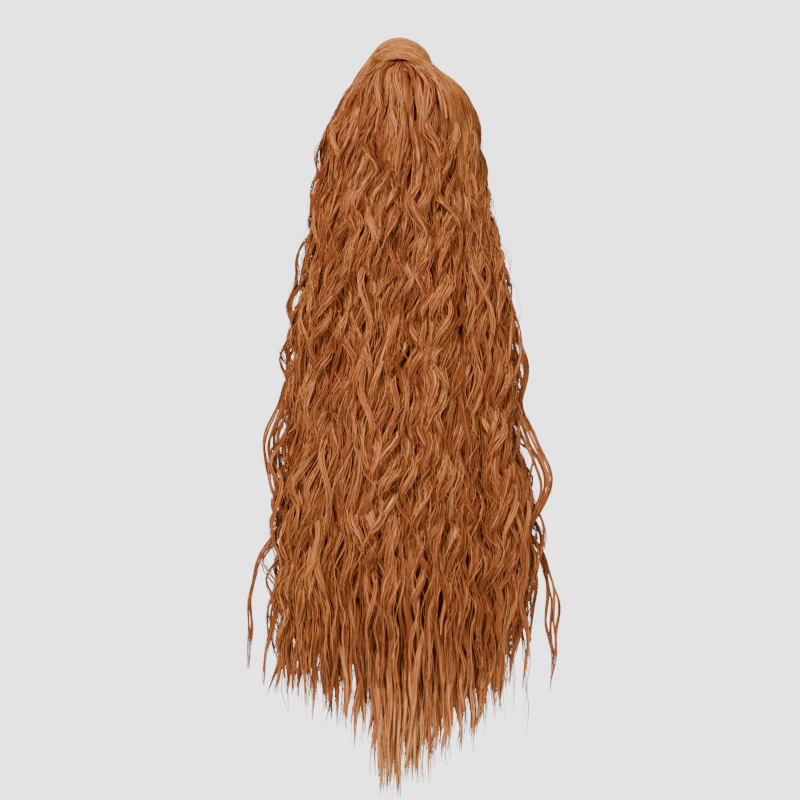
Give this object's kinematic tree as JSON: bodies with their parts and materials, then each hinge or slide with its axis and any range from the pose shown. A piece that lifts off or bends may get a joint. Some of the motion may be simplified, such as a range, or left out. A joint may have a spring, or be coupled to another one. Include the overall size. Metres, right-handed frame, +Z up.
{
  "type": "clip-in hair extension",
  "caption": "Long wavy clip-in ponytail hair extension in worn form, with a smooth lock wound round its base and a comb inside.",
  "frame": {"origin": "the point on the scalp where the wearer's hair is gathered and the base pins on", "axes": "+Z up along the hanging tail, +Y towards the wearer's head, +X to the right as seen from behind the wearer"},
  "size_m": [0.2593, 0.079, 0.6245],
  "materials": {
    "tail_hair": "satin",
    "wrap_hair": "satin",
    "band_fabric": "matte",
    "comb_plastic": "gloss"
  },
  "bodies": {
    "root": {"tail": "tail_hair", "wrap_lock": "wrap_hair", "base_band": "band_fabric", "comb": "comb_plastic"}
  },
  "joints": []
}
